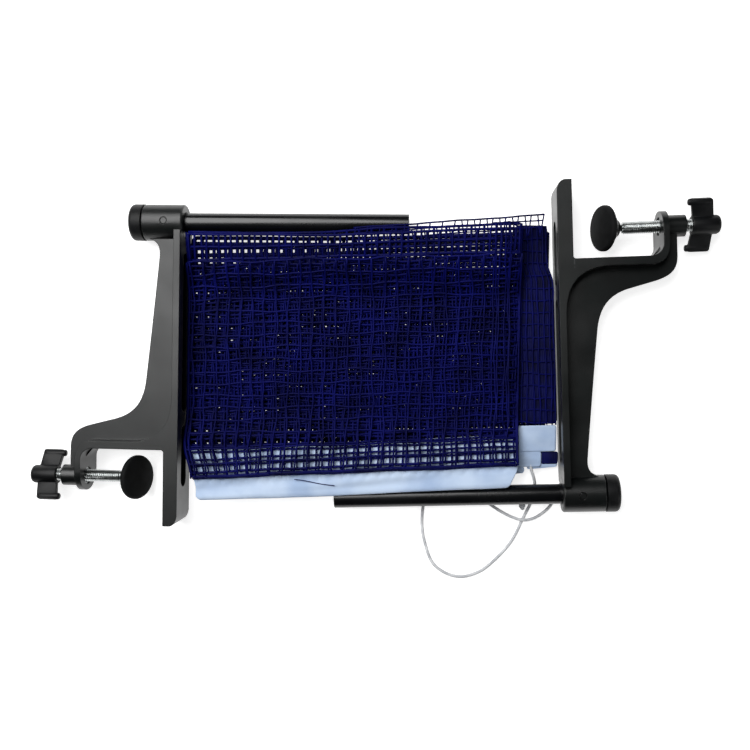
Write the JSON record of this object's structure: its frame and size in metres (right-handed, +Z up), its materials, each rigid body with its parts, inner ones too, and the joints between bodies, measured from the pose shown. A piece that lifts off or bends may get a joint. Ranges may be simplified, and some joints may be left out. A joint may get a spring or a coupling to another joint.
{
  "type": "table tennis net clamp",
  "caption": "Table tennis net set: two screw-clamp net posts with height adjusters and swivel pads, the folded net with its top tape, and the tension cord.",
  "frame": {"origin": "on the ground plane, under the middle of the set without its cord", "axes": "+X from the left clamp to the right clamp, along the left post tube; +Y across the folded net towards the left tube; +Z up from the surface that the set lies on"},
  "size_m": [0.435, 0.2525, 0.0295],
  "materials": {
    "black_paint": "semi-gloss black paint on a cast bracket",
    "black_gloss_paint": "gloss black paint on drawn tube",
    "black_plastic": "satin moulded plastic",
    "black_rubber": "matt rubber",
    "zinc_steel": "bright zinc plated steel",
    "brass": "turned brass",
    "navy_net": "knotless woven net yarn",
    "white_tape": "woven tape",
    "white_cord": "braided cord"
  },
  "bodies": {
    "net": {"net_rear_folds": "navy_net", "net_open_layer": "navy_net", "net_middle_folds": "navy_net", "net_front_layer": "navy_net", "top_tape": "white_tape", "side_hem": "navy_net", "tape_end_upper": "white_tape", "tape_end_lower": "white_tape", "hem_end": "navy_net", "net_cord": "white_cord", "cord_knot": "white_cord"},
    "left_post": {"left_bracket": "black_paint", "left_guide_screw": "black_paint", "left_thread_insert": "zinc_steel"},
    "left_tube": {"left_post_tube": "black_gloss_paint", "left_tube_end_plug": "black_plastic", "left_tube_nut": "brass"},
    "left_adjuster": {"left_adjuster_cap": "black_plastic", "left_adjuster_screw": "zinc_steel", "left_screw_clip": "zinc_steel"},
    "left_swivel": {"left_swivel_ball": "zinc_steel"},
    "left_screw": {"left_clamp_screw": "zinc_steel", "left_wing_knob": "black_plastic"},
    "left_pad": {"left_pad_disc": "black_plastic", "left_pad_face": "black_rubber"},
    "right_post": {"right_bracket": "black_paint", "right_guide_screw": "black_paint", "right_thread_insert": "zinc_steel"},
    "right_tube": {"right_post_tube": "black_gloss_paint", "right_tube_end_plug": "black_plastic", "right_tube_nut": "brass"},
    "right_adjuster": {"right_adjuster_cap": "black_plastic", "right_adjuster_screw": "zinc_steel", "right_screw_clip": "zinc_steel"},
    "right_swivel": {"right_swivel_ball": "zinc_steel"},
    "right_screw": {"right_clamp_screw": "zinc_steel", "right_wing_knob": "black_plastic"},
    "right_pad": {"right_pad_disc": "black_plastic", "right_pad_face": "black_rubber"}
  },
  "joints": [
    {"name": "left_post_pull", "type": "slide", "parent": "net", "child": "left_post", "axis": [-1, 0, 0], "range_m": [0, 0.165]},
    {"name": "left_adjuster_turn", "type": "hinge", "parent": "left_post", "child": "left_adjuster", "pos_m": [-0.14633, 0.08378, 0.01375], "axis": [1, 0, 0], "range_deg": [-1801, 1081]},
    {"name": "left_tube_lift", "type": "slide", "parent": "left_post", "child": "left_tube", "axis": [1, 0, 0], "range_m": [-0.003, 0.005]},
    {"name": "left_clamp_travel", "type": "slide", "parent": "left_post", "child": "left_swivel", "axis": [1, 0, 0], "range_m": [-0.0219, 0.0034]},
    {"name": "left_clamp_turn", "type": "hinge", "parent": "left_swivel", "child": "left_screw", "pos_m": [-0.18633, -0.08072, 0.01375], "axis": [1, 0, 0], "range_deg": [-6308, 980]},
    {"name": "left_pad_tilt", "type": "hinge", "parent": "left_swivel", "child": "left_pad", "pos_m": [-0.15243, -0.08072, 0.01375], "axis": [0, 1, 0], "range_deg": [-3.5, 50.5]},
    {"name": "right_post_pull", "type": "slide", "parent": "net", "child": "right_post", "axis": [0.9989, 0.0478, 0], "range_m": [0, 0.165]},
    {"name": "right_adjuster_turn", "type": "hinge", "parent": "right_post", "child": "right_adjuster", "pos_m": [0.1541, -0.0826, 0.01375], "axis": [-0.9989, -0.0478, 0], "range_deg": [-1801, 1081]},
    {"name": "right_tube_lift", "type": "slide", "parent": "right_post", "child": "right_tube", "axis": [-0.9989, -0.0478, 0], "range_m": [-0.003, 0.005]},
    {"name": "right_clamp_travel", "type": "slide", "parent": "right_post", "child": "right_swivel", "axis": [-0.9989, -0.0478, 0], "range_m": [-0.0219, 0.0034]},
    {"name": "right_clamp_turn", "type": "hinge", "parent": "right_swivel", "child": "right_screw", "pos_m": [0.18619, 0.08363, 0.01375], "axis": [-0.9989, -0.0478, 0], "range_deg": [-6308, 980]},
    {"name": "right_pad_tilt", "type": "hinge", "parent": "right_swivel", "child": "right_pad", "pos_m": [0.15233, 0.082, 0.01375], "axis": [0.0478, -0.9989, 0], "range_deg": [-7, 47]}
  ],
  "couplings": [
    {"joint": "left_adjuster_turn", "follows": "left_tube_lift", "rad_per_m": -6283.2},
    {"joint": "left_clamp_turn", "follows": "left_clamp_travel", "rad_per_m": 5026.5},
    {"joint": "right_adjuster_turn", "follows": "right_tube_lift", "rad_per_m": -6283.2},
    {"joint": "right_clamp_turn", "follows": "right_clamp_travel", "rad_per_m": 5026.5}
  ]
}
